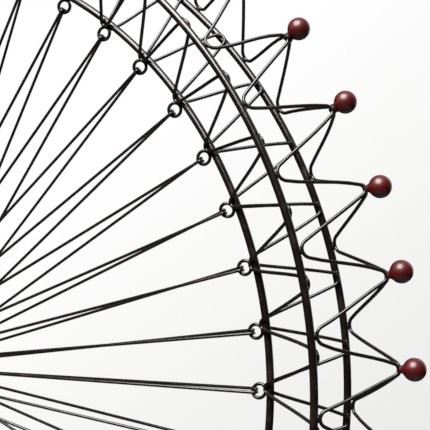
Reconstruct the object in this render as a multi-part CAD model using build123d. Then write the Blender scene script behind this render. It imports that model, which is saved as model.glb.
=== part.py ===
from build123d import *

import os
from math import acos, asin, atan2, cos, degrees, hypot, pi, radians, sin

# Hand-cranked wire Ferris wheel: a rim truss of bent wire on hooked wire spokes, carried by two
# A-shaped rod legs and turned by a crank. Sizes are in millimetres.
# The wheel turns about Y and +Z is up. The origin is on the floor below the middle of the hub.
# The front of the wheel faces -Y, and the crank is on that side.

# Stock
wire = 2.0  # thin wire of the spokes, the lattice, the crown and the eyelets
ring_rod = 4.4  # rod of the three rings and the cross bars
leg_rod = 6.4  # rod of the legs and the base
axle_diameter = 6.35
touch = 0.1  # gap left between pieces that are brazed or locked together
running_gap = 0.06  # radial play of the axle in its bushes and of the knob on its pin

# Wires, rods, balls and turned pieces are drawn with this many flats, at their true girth
wire_flats = 3
rod_flats = 6
turned_flats = 12
ball_flats = 8
ring_facets = 60
eyelet_facets = 6
flange_facets = 24

# Wheel, radially from the inner ring outwards
inner_ring_radius = 275.0
lattice_depth = 36.0  # from the inner ring to the two rim rings
crown_reach = 46.0  # from the rim rings to the middle of the balls
rim_spacing = 56.0  # between the front and the rear rim ring
ball_diameter = 12.7
crown_points = 45  # points of the crown, each with its ball
lattice_points = 48  # points of the lattice, each with its eyelet and two spokes
wheel_turn = -46.0  # degrees, the wheel's rest position

# Bends of the wires, at the centreline
lattice_inner_bend = 2.4
lattice_outer_bend = 3.6
lattice_inner_lap = 1.4  # how far the inner bends reach past where they touch the inner ring
lattice_outer_lap = 1.0  # the same at the rim rings
crown_ring_bend = 4.5
crown_ball_bend = 2.8

# Eyelets and spokes
eyelet_bore = 6.0
spoke_stub = 1.7  # how far a spoke's hooked end stands past the eyelet's middle
spoke_foot_radius = 20.0  # where the spokes end on the hub flanges

# Hub
flange_radius = 26.0
flange_spacing = 42.0  # between the inner faces
flange_thickness = 1.6
barrel_diameter = 16.0
barrel_length = 81.0
set_screw = 4.0
set_screw_inset = 8.0  # from the end of the barrel

# Bearings
washer_diameter = 13.0
washer_thickness = 1.0
bush_diameter = 10.0
sleeve_diameter = 14.0
bearing_length = 14.0
collar_diameter = 14.0
collar_length = 8.0
axle_overhang = 2.0  # past the collar and past the crank

# Crank
crank_throw = 60.0
crank_width = 13.0
crank_thickness = 4.0
crank_gap = 3.0  # between the swinging crank and the front legs
crank_pin = 5.0
pin_head = 9.0
pin_head_thickness = 2.0
knob_diameter = 22.0
knob_neck = 13.0
knob_length = 30.0
knob_outline = (  # share of the length from the crank's side, and diameter
    (0.0, knob_neck),
    (0.14, knob_neck),
    (0.42, knob_diameter),
    (0.78, knob_diameter),
    (1.0, knob_neck),
)
nut_width = 8.0
nut_thickness = 4.0

# Stand
ground_clearance = 24.0  # under the lowest ball
foot_spread = 300.0  # between the left and the right leg at the base
base_length = 350.0
base_depth = 220.0
base_corner = 28.0
cross_bar_height = 165.0
cross_bar_overhang = 7.0  # past each leg
foot_height = 9.0
foot_diameter = 20.0
foot_top_diameter = 15.0


def reach(diameter, flats):
    """Centre to corner of a flat-sided section with the girth of a round one."""
    return pi * diameter / (2 * flats * sin(pi / flats))


def half_flat(diameter, flats):
    """Centre to flat of that section."""
    return reach(diameter, flats) * cos(pi / flats)


def bar_section(diameter, flats=turned_flats, gap=0.0):
    return RegularPolygon(reach(diameter, flats) + gap, flats)


def opening(diameter, flats=turned_flats):
    """Flat-sided hole that a round bar of this diameter just fits."""
    return RegularPolygon(diameter / 2, flats, major_radius=False)


wire_reach = reach(wire, wire_flats)
ring_rod_reach = reach(ring_rod, rod_flats)
leg_rod_reach = reach(leg_rod, rod_flats)
ball_reach = reach(ball_diameter, ball_flats)

# Where things lie, worked out from the sizes above
rim_radius = inner_ring_radius + lattice_depth
ball_circle = rim_radius + crown_reach
axle_height = ball_circle + ball_reach + ground_clearance
hub_centre = Vector(0, 0, axle_height)
wire_on_ring = ring_rod_reach + wire_reach + touch  # between the centrelines
wire_on_wire = 2 * wire_reach + touch
wire_in_hook = half_flat(wire, wire_flats) + wire_reach + touch
inner_ring_edge = inner_ring_radius * cos(pi / ring_facets) - ring_rod_reach
eyelet_mean = (eyelet_bore + wire) / 2
eyelet_radius = inner_ring_edge - touch - eyelet_mean - wire_reach
bearing_start = barrel_length / 2 + washer_thickness + 2 * touch
bearing_middle = bearing_start + bearing_length / 2
bearing_end = bearing_start + bearing_length


def outwards(angle):
    """Direction from the hub, with the angle in degrees from the wheel's first spoke."""
    turn = radians(angle + wheel_turn)
    return Vector(cos(turn), 0, sin(turn))


def polar(radius, angle, y):
    """A point of the wheel."""
    return hub_centre + outwards(angle) * radius + Vector(0, y, 0)


def skin(sections, closed=False):
    """A solid with flat walls from each section's corners to the next one's."""
    faces = []
    for here, there in zip(sections, sections[1:] + sections[:1] * closed):
        for i in range(len(here)):
            faces.append(Face(Wire.make_polygon([here[i - 1], here[i], there[i], there[i - 1]])))
    if not closed:
        faces += [Face(Wire.make_polygon(sections[0])), Face(Wire.make_polygon(sections[-1]))]
    return Solid(Shell(faces))


def bent_bar(path, diameter, flats, facing, closed=False, ends=None):
    """A bar along straight runs that meet in mitres, as one solid.

    facing points from the first run to one flat of the section. ends gives the directions of
    the two end cuts of an open bar, which are square to it if left out.
    """
    count = len(path)
    runs = [(path[(i + 1) % count] - path[i]).normalized() for i in range(count - 1 + closed)]
    side = (facing - runs[0] * facing.dot(runs[0])).normalized()
    across = runs[0].cross(side)
    middle = (path[0] + path[1]) * 0.5
    angles = [2 * pi * (i + 0.5) / flats for i in range(flats)]
    corners = [middle + (side * cos(a) + across * sin(a)) * reach(diameter, flats) for a in angles]

    def slide(points, run, station, cut):
        """Move a section along its run to the cut at a station of the path."""
        return [p + run * ((station - p).dot(cut) / run.dot(cut)) for p in points]

    mitres = [(a + b).normalized() for a, b in zip(runs, runs[1:])]
    if closed:
        cuts = [(runs[-1] + runs[0]).normalized(), *mitres]
    else:
        first, last = ends or (runs[0], runs[-1])
        cuts = [first, *mitres, last]
    sections = [slide(corners, runs[0], path[0], cuts[0])]
    for run, station, cut in zip(runs, path[1:], cuts[1:]):
        sections.append(slide(sections[-1], run, station, cut))
    return skin(sections, closed)


def turned(stations, frame, flats=turned_flats):
    """A turned piece from (height, diameter) stations along the frame's own Z."""
    corners = [2 * pi * i / flats for i in range(flats)]
    sections = []
    for height, diameter in stations:
        radius = reach(diameter, flats)
        points = [Vector(radius * cos(a), radius * sin(a), height) for a in corners]
        sections.append([frame.from_local_coords(point) for point in points])
    return skin(sections)


def bend(centre, towards, beside, radius, half_turn, corners):
    """Corners of a bend drawn round a circle: its tip is towards, and it swings half_turn
    degrees to each side."""
    step = 2 * half_turn / corners
    out = radius / cos(radians(step / 2))
    angles = [radians(-half_turn + step * (i + 0.5)) for i in range(corners)]
    return [centre + (towards * cos(a) + beside * sin(a)) * out for a in angles]


# Rim


def zigzag(points, start, inner, outer):
    """Path of a zigzag wire round the wheel, from the angle of its first outer bend.

    inner and outer each give (radius from the hub at the bend's tip, y, bend radius).
    """
    pitch = 360 / points
    slant = Vector(outer[0] - inner[0], outer[1] - inner[1])
    leaning = slant.normalized()
    half_span = radians(pitch / 2) * (inner[0] + outer[0]) / 2
    bends = inner[2] + outer[2]
    half_turn = 90 - degrees(atan2(half_span - bends, slant.length - bends))
    path = []
    for i in range(points):
        for (radius, y, bend_radius), angle, way in (
            (outer, start + i * pitch, 1),
            (inner, start + (i + 0.5) * pitch, -1),
        ):
            tip_way = (outwards(angle) * leaning.X + Vector(0, leaning.Y, 0)) * way
            centre = polar(radius, angle, y) - tip_way * bend_radius
            path += bend(centre, tip_way, outwards(angle + 90), bend_radius, half_turn, 2)
    return path


def lattice_ends(side):
    """Bend tips, as (radius from the hub, y), of a wire that runs in front of the inner ring and
    inside the rim ring."""
    apart = hypot(lattice_depth, rim_spacing / 2)
    slope = atan2(rim_spacing / 2, lattice_depth) - asin(2 * wire_on_ring / apart)
    along, clear = Vector(cos(slope), sin(slope)), Vector(-sin(slope), cos(slope)) * wire_on_ring
    inner = Vector(inner_ring_radius, 0) + clear - along * lattice_inner_lap
    outer = Vector(rim_radius, rim_spacing / 2) - clear + along * lattice_outer_lap
    return (inner.X, side * inner.Y), (outer.X, side * outer.Y)


def ring(radius, y):
    """A ring rolled from rod, round the hub."""
    path = [polar(radius, 360 * i / ring_facets, y) for i in range(ring_facets)]
    return bent_bar(path, ring_rod, rod_flats, Vector(0, 1, 0), closed=True)


def lattice_wire(side):
    """Zigzag wire from the inner ring to the rim ring on one side, -1 for the front."""
    inner, outer = lattice_ends(side)
    bends = (*inner, lattice_inner_bend), (*outer, lattice_outer_bend)
    path = zigzag(lattice_points, 180 / lattice_points, *bends)
    return bent_bar(path, wire, wire_flats, Vector(0, side, 0), closed=True)


def crown_wire(side):
    """Zigzag wire from one rim ring out to the balls."""
    inner = (rim_radius + wire_on_ring, side * rim_spacing / 2, crown_ring_bend)
    ball_edge = ball_circle - ball_reach
    outer = (ball_edge - touch - wire_reach, side * wire_on_wire / 2, crown_ball_bend)
    path = zigzag(crown_points, 0, inner, outer)
    return bent_bar(path, wire, wire_flats, Vector(0, side, 0), closed=True)


def eyelet(angle):
    """Small wire ring that stands on the inside of the inner ring."""
    centre = polar(eyelet_radius, angle, 0)
    path = bend(centre, outwards(angle), outwards(angle + 90), eyelet_mean, 180, eyelet_facets)
    inwards = centre - (path[0] + path[1]) * 0.5
    return bent_bar(path, wire, wire_flats, inwards, closed=True)


def spoke(angle, side):
    """Wire hooked through its eyelet and brazed to the inner face of a hub flange."""
    hook_radius = eyelet_radius - eyelet_mean + wire_in_hook
    beside = outwards(angle + 90) * side * wire_on_wire / 2
    foot_y = flange_spacing / 2 - wire_reach - touch
    path = [
        polar(hook_radius, angle, -side * spoke_stub) + beside,
        polar(hook_radius, angle, side * wire_on_wire) + beside,
        polar(spoke_foot_radius, angle, side * foot_y) + beside,
    ]
    return bent_bar(path, wire, wire_flats, outwards(angle))


def tip_ball(angle):
    """Ball on a point of the crown, drawn as bands of flats about the spoke's direction."""
    bands = ball_flats // 2
    frame = Plane(polar(ball_circle, angle, 0), x_dir=(0, 1, 0), z_dir=outwards(angle))

    def on_ball(i, j):
        down, turn = pi * i / bands, 2 * pi * j / ball_flats
        point = Vector(sin(down) * cos(turn), sin(down) * sin(turn), cos(down))
        return frame.from_local_coords(point * ball_reach)

    faces = []
    for j in range(ball_flats):
        for i in range(bands):
            corners = [on_ball(i, j), on_ball(i + 1, j), on_ball(i + 1, j + 1), on_ball(i, j + 1)]
            if i == 0:
                corners.pop()
            if i == bands - 1:
                corners.pop(2)
            faces.append(Face(Wire.make_polygon(corners)))
    return Solid(Shell(faces))


def export(name, *solids):
    shape = solids[0] if len(solids) == 1 else Compound(children=list(solids))
    export_step(shape, f"parts/{name}.step")


os.makedirs("parts", exist_ok=True)
lattice_angles = [360 * i / lattice_points for i in range(lattice_points)]
crown_angles = [360 * i / crown_points for i in range(crown_points)]
for name, side in (("front", -1), ("rear", 1)):
    export(f"{name}_rim_ring", ring(rim_radius, side * rim_spacing / 2))
    export(f"{name}_lattice_wire", lattice_wire(side))
    export(f"{name}_crown_wire", crown_wire(side))
    export(f"{name}_spokes", *(spoke(angle, side) for angle in lattice_angles))
export("inner_ring", ring(inner_ring_radius, 0))
export("spoke_eyelets", *(eyelet(angle) for angle in lattice_angles))
export("tip_balls", *(tip_ball(angle) for angle in crown_angles))


# Hub


def along_axle(section, start, length):
    """A section swept along the axle from y = start."""
    face = Plane(hub_centre + Vector(0, start, 0), x_dir=(1, 0, 0), z_dir=(0, 1, 0))
    return extrude(face * section, length)


def locked_on_axle(diameter, start, length):
    """A turned piece that the axle passes through."""
    return along_axle(bar_section(diameter) - opening(axle_diameter + 2 * touch), start, length)


def set_screw_hole(y, height):
    base = Plane(hub_centre + Vector(0, y, 0))
    return extrude(base * bar_section(set_screw, rod_flats, gap=touch), height)


def set_screw_at(y, outer_diameter):
    """Grub screw standing on the axle, its top level with the piece that it locks."""
    base = Plane(hub_centre + Vector(0, y, axle_diameter / 2 + touch))
    length = (outer_diameter - axle_diameter) / 2 - touch
    return extrude(base * bar_section(set_screw, rod_flats), length)


def flange(start):
    """Disc on the barrel that the spokes are brazed to."""
    disc = RegularPolygon(flange_radius, flange_facets) - bar_section(barrel_diameter, gap=touch)
    return along_axle(disc, start, flange_thickness)


barrel_screws = [-barrel_length / 2 + set_screw_inset, barrel_length / 2 - set_screw_inset]
barrel = locked_on_axle(barrel_diameter, -barrel_length / 2, barrel_length)
for y in barrel_screws:
    barrel -= set_screw_hole(y, barrel_diameter)
export("hub_barrel", barrel)
export("hub_set_screws", *(set_screw_at(y, barrel_diameter) for y in barrel_screws))
export("front_hub_flange", flange(-flange_spacing / 2 - flange_thickness))
export("rear_hub_flange", flange(flange_spacing / 2))


# Bearings


def bush(start):
    """Bearing bush that the axle runs in."""
    running_bore = Circle(axle_diameter / 2 + running_gap)
    return along_axle(bar_section(bush_diameter) - running_bore, start, bearing_length)


def bearing_sleeve(start):
    """Tube round a bush, held by the legs."""
    wall = bar_section(sleeve_diameter) - bar_section(bush_diameter, gap=touch)
    return along_axle(wall, start, bearing_length)


washer_start = barrel_length / 2 + touch
washer_starts = (-washer_start - washer_thickness, washer_start)
export("thrust_washers", *(locked_on_axle(washer_diameter, y, washer_thickness) for y in washer_starts))
export("axle_bushes", bush(-bearing_end), bush(bearing_start))
export("front_bearing_sleeve", bearing_sleeve(-bearing_end))
export("rear_bearing_sleeve", bearing_sleeve(bearing_start))

# Stand
foot_x = foot_spread / 2
foot_y = base_depth / 2
base_z = foot_height + touch + half_flat(leg_rod, rod_flats)
leg_foot_z = base_z + half_flat(leg_rod, rod_flats) + touch
leg_drop = axle_height - leg_foot_z
lean = (foot_y - bearing_middle) / leg_drop  # how far the legs go out per millimetre down
across_leg = half_flat(leg_rod, rod_flats) * hypot(1, lean)  # half a leg's thickness along Y


def legs(side):
    """Rod bent over the bearing sleeve, with an end on the base at each side."""
    wrap = reach(sleeve_diameter, turned_flats) + leg_rod_reach + touch
    tangent = degrees(acos(wrap / hypot(foot_x, leg_drop)) - atan2(leg_drop, foot_x))
    top = hub_centre + Vector(0, side * bearing_middle, 0)
    over = bend(top, Vector(0, 0, 1), Vector(1, 0, 0), wrap, 90 - tangent, 4)
    left, right = (Vector(x, side * foot_y, leg_foot_z) for x in (-foot_x, foot_x))
    down = Vector(0, 0, -1)
    return bent_bar([left, *over, right], leg_rod, rod_flats, Vector(0, side, 0), ends=(-down, down))


def cross_bar(side):
    """Straight rod brazed across the inside of a pair of legs."""
    drop = axle_height - cross_bar_height
    leg_back = bearing_middle + lean * (drop - ring_rod_reach / 2) - across_leg
    y = side * (leg_back - touch - half_flat(ring_rod, rod_flats))
    half = foot_x * drop / leg_drop + cross_bar_overhang
    path = [Vector(-half, y, cross_bar_height), Vector(half, y, cross_bar_height)]
    return bent_bar(path, ring_rod, rod_flats, Vector(0, side, 0))


def base_frame():
    """Rod bent into a flat rectangle with round corners."""
    path = []
    for corner_x, corner_y in ((1, 1), (-1, 1), (-1, -1), (1, -1)):
        towards = Vector(corner_x, corner_y, 0).normalized()
        centre_x = corner_x * (base_length / 2 - base_corner)
        centre_y = corner_y * (base_depth / 2 - base_corner)
        centre = Vector(centre_x, centre_y, base_z)
        path += bend(centre, towards, Vector(0, 0, 1).cross(towards), base_corner, 45, 4)
    return bent_bar(path, leg_rod, rod_flats, Vector(0, 0, 1), closed=True)


def foot(x, y):
    """Tapered rubber foot under the base."""
    return turned(((0, foot_diameter), (foot_height, foot_top_diameter)), Plane((x, y, 0)))


for name, side in (("front", -1), ("rear", 1)):
    export(f"{name}_legs", legs(side))
    export(f"{name}_cross_bar", cross_bar(side))
export("base_frame", base_frame())
rubber_x = base_length / 2 - base_corner
export("feet", *(foot(x, y) for x in (-rubber_x, rubber_x) for y in (-foot_y, foot_y)))

# Axle, collar and crank
collar_start = bearing_end + touch
collar_screw = collar_start + collar_length / 2
swing = crank_throw + crank_width / 2
leg_face = bearing_middle + lean * swing + across_leg
arm_back = max(leg_face, bearing_end) + crank_gap  # how far the arm is in front of the hub
arm_front = arm_back + crank_thickness
boss_back = bearing_end + touch
boss_screw = -(boss_back + arm_back) / 2
knob_back = arm_front + touch
knob_front = knob_back + knob_length
nut_back = knob_front + touch
pin_centre = hub_centre - Vector(0, 0, crank_throw)


def crank_arm():
    """Flat bar hanging from the axle, with a boss that takes its set screw."""
    blade = Rectangle(crank_throw, 2 * half_flat(crank_width, turned_flats))
    for end in (-crank_throw / 2, crank_throw / 2):
        blade += Pos(end, 0) * Rot(0, 0, 180 / turned_flats) * bar_section(crank_width)
    blade -= Pos(crank_throw / 2, 0) * opening(axle_diameter + 2 * touch)
    blade -= Pos(-crank_throw / 2, 0) * opening(crank_pin + 2 * touch)
    middle = hub_centre - Vector(0, arm_front, crank_throw / 2)
    arm = extrude(Plane(middle, x_dir=(0, 0, 1), z_dir=(0, 1, 0)) * blade, crank_thickness)
    arm += locked_on_axle(crank_width, -arm_back, arm_back - boss_back)
    return arm - set_screw_hole(boss_screw, crank_width)


def pin_plane(distance):
    """Plane across the crank pin, this far in front of the hub and facing the front."""
    return Plane(pin_centre - Vector(0, distance, 0), x_dir=(1, 0, 0), z_dir=(0, -1, 0))


def pin():
    """Pin through the arm, with a head behind it."""
    shank = Circle(crank_pin / 2)
    shank_back = arm_back - pin_head_thickness
    head = extrude(pin_plane(shank_back) * bar_section(pin_head), pin_head_thickness - touch)
    return head + extrude(pin_plane(shank_back) * shank, nut_back + nut_thickness - shank_back)


def knob():
    """Turned handle that spins on the pin."""
    stations = [(share * knob_length, diameter) for share, diameter in knob_outline]
    bore = extrude(pin_plane(knob_back) * Circle(crank_pin / 2 + running_gap), knob_length)
    return turned(stations, pin_plane(knob_back)) - bore


axle_start = -(arm_front + axle_overhang)
axle_end = collar_start + collar_length + axle_overhang
export("axle", along_axle(Circle(axle_diameter / 2), axle_start, axle_end - axle_start))
collar = locked_on_axle(collar_diameter, collar_start, collar_length)
export("axle_collar", collar - set_screw_hole(collar_screw, collar_diameter))
export("crank_arm", crank_arm())
export("lock_screws", set_screw_at(collar_screw, collar_diameter), set_screw_at(boss_screw, crank_width))
export("crank_pin", pin())
export("crank_knob", knob())
nut = RegularPolygon(nut_width / 2, rod_flats, major_radius=False) - opening(crank_pin + 2 * touch)
export("pin_nut", extrude(pin_plane(nut_back) * nut, nut_thickness))
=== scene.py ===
import math
import random

import bpy
from mathutils import Matrix, Vector


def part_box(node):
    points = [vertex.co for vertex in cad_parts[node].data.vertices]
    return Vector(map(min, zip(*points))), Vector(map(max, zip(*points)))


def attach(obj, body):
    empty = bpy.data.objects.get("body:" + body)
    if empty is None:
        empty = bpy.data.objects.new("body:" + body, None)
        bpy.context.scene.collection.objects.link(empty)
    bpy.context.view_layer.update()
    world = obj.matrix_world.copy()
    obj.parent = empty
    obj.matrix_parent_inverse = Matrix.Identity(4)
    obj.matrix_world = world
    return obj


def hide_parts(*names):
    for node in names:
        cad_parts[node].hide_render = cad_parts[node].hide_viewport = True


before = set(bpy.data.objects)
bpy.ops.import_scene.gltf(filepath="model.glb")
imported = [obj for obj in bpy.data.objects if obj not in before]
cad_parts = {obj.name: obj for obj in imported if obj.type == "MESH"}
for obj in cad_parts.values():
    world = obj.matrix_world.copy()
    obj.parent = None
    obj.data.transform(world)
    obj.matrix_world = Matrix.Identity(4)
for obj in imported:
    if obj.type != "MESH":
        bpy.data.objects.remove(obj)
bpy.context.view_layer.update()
mm = 0.001

# The hub's middle comes from the inner ring's box, and the wheel's own sizes are metres
ringLow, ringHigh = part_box("inner_ring")
hubCentre = (ringLow + ringHigh) / 2
axleWay = Vector((0, 1, 0))
wheelTurn = -46.0  # degrees, the rest position
wheelSizes = {
    "wireRadius": 1.0 * mm,
    "rodRadius": 2.2 * mm,
    "innerRing": 275.0 * mm,
    "rimRing": 311.0 * mm,
    "rimOffset": 28.0 * mm,  # of each rim ring from the wheel's middle plane
    "ballCircle": 357.0 * mm,
    "ballRadius": 6.35 * mm,
    "latticePoints": 48,
    "crownPoints": 45,
}
wireRadius = wheelSizes["wireRadius"]
rodRadius = wheelSizes["rodRadius"]


def deselect():
    bpy.ops.object.select_all(action="DESELECT")


def activate(piece):
    deselect()
    piece.select_set(True)
    bpy.context.view_layer.objects.active = piece
    return piece


def applyPlace(piece):
    activate(piece)
    bpy.ops.object.transform_apply(location=True, rotation=True, scale=True)
    return piece


def joinAll(pieces, name):
    activate(pieces[0])
    for piece in pieces:
        piece.select_set(True)
    if len(pieces) > 1:
        bpy.ops.object.join()
    joined = bpy.context.view_layer.objects.active
    joined.name = name
    joined.data.name = name
    return applyPlace(joined)


def copyTo(piece, place):
    twin = piece.copy()
    twin.data = piece.data.copy()
    bpy.context.scene.collection.objects.link(twin)
    twin.matrix_world = place
    return twin


def discard(piece):
    bpy.data.objects.remove(piece, do_unlink=True)


def applyModifiers(piece):
    activate(piece)
    for modifier in list(piece.modifiers):
        bpy.ops.object.modifier_apply(modifier=modifier.name)
    return piece


def softenEdges(piece, width, segments=2, angle=35):
    bevel = piece.modifiers.new("edges", "BEVEL")
    bevel.width = width
    bevel.segments = segments
    bevel.limit_method = "ANGLE"
    bevel.angle_limit = math.radians(angle)
    return applyModifiers(piece)


def smoothShade(piece, angle=40):
    activate(piece)
    bpy.ops.object.shade_smooth_by_angle(angle=math.radians(angle))
    return piece


def finishPiece(piece, body, material, slot, *nodes):
    piece.data.materials.clear()
    piece.data.materials.append(material)
    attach(piece, body)
    if nodes:
        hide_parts(*nodes)
    return piece


def outwards(angle):
    turn = math.radians(angle + wheelTurn)
    return Vector((math.cos(turn), 0, math.sin(turn)))


def wheelPoint(radius, angle, y):
    return hubCentre + outwards(angle) * radius + axleWay * y


def wheelPlace(radius, angle, y):
    # Local X runs along the wheel's rim, local Y along the axle and local Z away from the hub
    out = outwards(angle)
    along = axleWay.cross(out)
    place = Matrix((along, axleWay, out)).transposed().to_4x4()
    place.translation = wheelPoint(radius, angle, y)
    return place


# A round wire along Bezier stations of (left handle, point, right handle)
def curveWire(name, stations, radius, closed=False, sides=2, steps=4):
    bpy.ops.curve.primitive_bezier_curve_add()
    wire = bpy.context.object
    curve = wire.data
    curve.splines.clear()
    spline = curve.splines.new("BEZIER")
    spline.bezier_points.add(len(stations) - 1)
    for point, (left, middle, right) in zip(spline.bezier_points, stations):
        point.handle_left_type = point.handle_right_type = "FREE"
        point.handle_left, point.co, point.handle_right = left, middle, right
    spline.use_cyclic_u = closed
    curve.dimensions = "3D"
    curve.resolution_u = steps
    curve.bevel_depth = radius
    curve.bevel_resolution = sides
    curve.use_fill_caps = not closed
    activate(wire)
    bpy.ops.object.convert(target="MESH")
    wire.name = name
    wire.data.name = name
    activate(wire)
    bpy.ops.object.mode_set(mode="EDIT")
    bpy.ops.mesh.select_all(action="SELECT")
    bpy.ops.mesh.remove_doubles(threshold=1e-6)
    bpy.ops.mesh.normals_make_consistent(inside=False)
    bpy.ops.object.mode_set(mode="OBJECT")
    for polygon in wire.data.polygons:
        polygon.use_smooth = True
    return wire


# The same through corners that are rounded off in arcs
def bentWire(name, corners, bendRadii, radius, closed=False, sides=2, steps=4):
    count = len(corners)
    stations = []
    for i, (corner, bendRadius) in enumerate(zip(corners, bendRadii)):
        if not closed and i in (0, count - 1):
            stations.append((corner, corner, corner))
            continue
        before = (corners[i - 1] - corner).normalized()
        after = (corners[(i + 1) % count] - corner).normalized()
        opening = (before + after).normalized()
        halfAngle = before.angle(opening)
        turn = math.pi / 2 - halfAngle
        back = bendRadius / math.tan(halfAngle)
        tip = corner + opening * (bendRadius / math.sin(halfAngle) - bendRadius)
        pull = 4 / 3 * math.tan(turn / 4) * bendRadius
        level = (after - before).normalized()
        start, end = corner + before * back, corner + after * back
        stations.append((start + before * pull, start, start - before * pull))
        stations.append((tip - level * pull, tip, tip + level * pull))
        stations.append((end - after * pull, end, end + after * pull))
    return curveWire(name, stations, radius, closed, sides, steps)


# A turned piece: a closed outline of (distance along, radius) spun round an axis
def spunPiece(name, outline, start, way, steps=64, bevel=0.0):
    way = Vector(way).normalized()
    side = way.orthogonal().normalized()
    deselect()
    bpy.ops.mesh.primitive_circle_add(vertices=len(outline), radius=1, fill_type="NOTHING")
    piece = bpy.context.object
    for vertex, (distance, radius) in zip(piece.data.vertices, outline):
        vertex.co = Vector(start) + way * distance + side * radius
    bpy.ops.object.mode_set(mode="EDIT")
    bpy.ops.mesh.select_all(action="SELECT")
    bpy.ops.mesh.spin(steps=steps, dupli=False, angle=2 * math.pi, center=start, axis=way)
    bpy.ops.mesh.select_all(action="SELECT")
    bpy.ops.mesh.remove_doubles(threshold=2e-6)
    bpy.ops.mesh.dissolve_degenerate(threshold=1e-7)
    bpy.ops.mesh.select_all(action="SELECT")
    bpy.ops.mesh.normals_make_consistent(inside=False)
    bpy.ops.object.mode_set(mode="OBJECT")
    piece.name = name
    piece.data.name = name
    if bevel:
        softenEdges(piece, bevel)
    return smoothShade(piece, 32)


def newGroup(name, inputs, outputs):
    group = bpy.data.node_groups.new(name, "ShaderNodeTree")
    for socketName, kind, value in inputs:
        socket = group.interface.new_socket(socketName, in_out="INPUT", socket_type=kind)
        socket.default_value = value
    for socketName, kind in outputs:
        group.interface.new_socket(socketName, in_out="OUTPUT", socket_type=kind)
    return group, group.nodes.new("NodeGroupInput"), group.nodes.new("NodeGroupOutput")


def addNoise(tree, scale, detail=3.0, roughness=0.55):
    noise = tree.nodes.new("ShaderNodeTexNoise")
    noise.inputs["Scale"].default_value = scale
    noise.inputs["Detail"].default_value = detail
    noise.inputs["Roughness"].default_value = roughness
    return noise


def addRamp(tree, low, high):
    ramp = tree.nodes.new("ShaderNodeMapRange")
    ramp.interpolation_type = "SMOOTHSTEP"
    ramp.inputs["From Min"].default_value = low
    ramp.inputs["From Max"].default_value = high
    return ramp


def addMath(tree, operation, a=None, b=None):
    node = tree.nodes.new("ShaderNodeMath")
    node.operation = operation
    for socket, value in zip(node.inputs, (a, b)):
        if isinstance(value, (int, float)):
            socket.default_value = value
        elif value is not None:
            tree.links.new(value, socket)
    return node


# Patches, fine mottling and a height for bumps, all from object coordinates
def makeMottleGroup():
    group, source, result = newGroup(
        "handMadeMottle",
        (
            ("Patch Scale", "NodeSocketFloat", 60.0),
            ("Grain Scale", "NodeSocketFloat", 700.0),
            ("Patch Amount", "NodeSocketFloat", 0.5),
        ),
        (("Patches", "NodeSocketFloat"), ("Grain", "NodeSocketFloat"), ("Height", "NodeSocketFloat")),
    )
    links = group.links
    place = group.nodes.new("ShaderNodeTexCoord")
    patches, grain = addNoise(group, 60, 4.0), addNoise(group, 700, 2.0, 0.6)
    for noise, socket in ((patches, "Patch Scale"), (grain, "Grain Scale")):
        links.new(place.outputs["Object"], noise.inputs["Vector"])
        links.new(source.outputs[socket], noise.inputs["Scale"])
    # More patches as Patch Amount rises, because their threshold falls
    threshold = addMath(group, "SUBTRACT", 0.80, source.outputs["Patch Amount"])
    upper = addMath(group, "ADD", threshold.outputs[0], 0.22)
    ramp = addRamp(group, 0.3, 0.6)
    links.new(patches.outputs["Fac"], ramp.inputs["Value"])
    links.new(threshold.outputs[0], ramp.inputs["From Min"])
    links.new(upper.outputs[0], ramp.inputs["From Max"])
    half = addMath(group, "MULTIPLY", patches.outputs["Fac"], 0.5)
    height = addMath(group, "ADD", half.outputs[0], grain.outputs["Fac"])
    links.new(ramp.outputs["Result"], result.inputs["Patches"])
    links.new(grain.outputs["Fac"], result.inputs["Grain"])
    links.new(height.outputs[0], result.inputs["Height"])
    return group


mottleGroup = makeMottleGroup()


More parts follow.
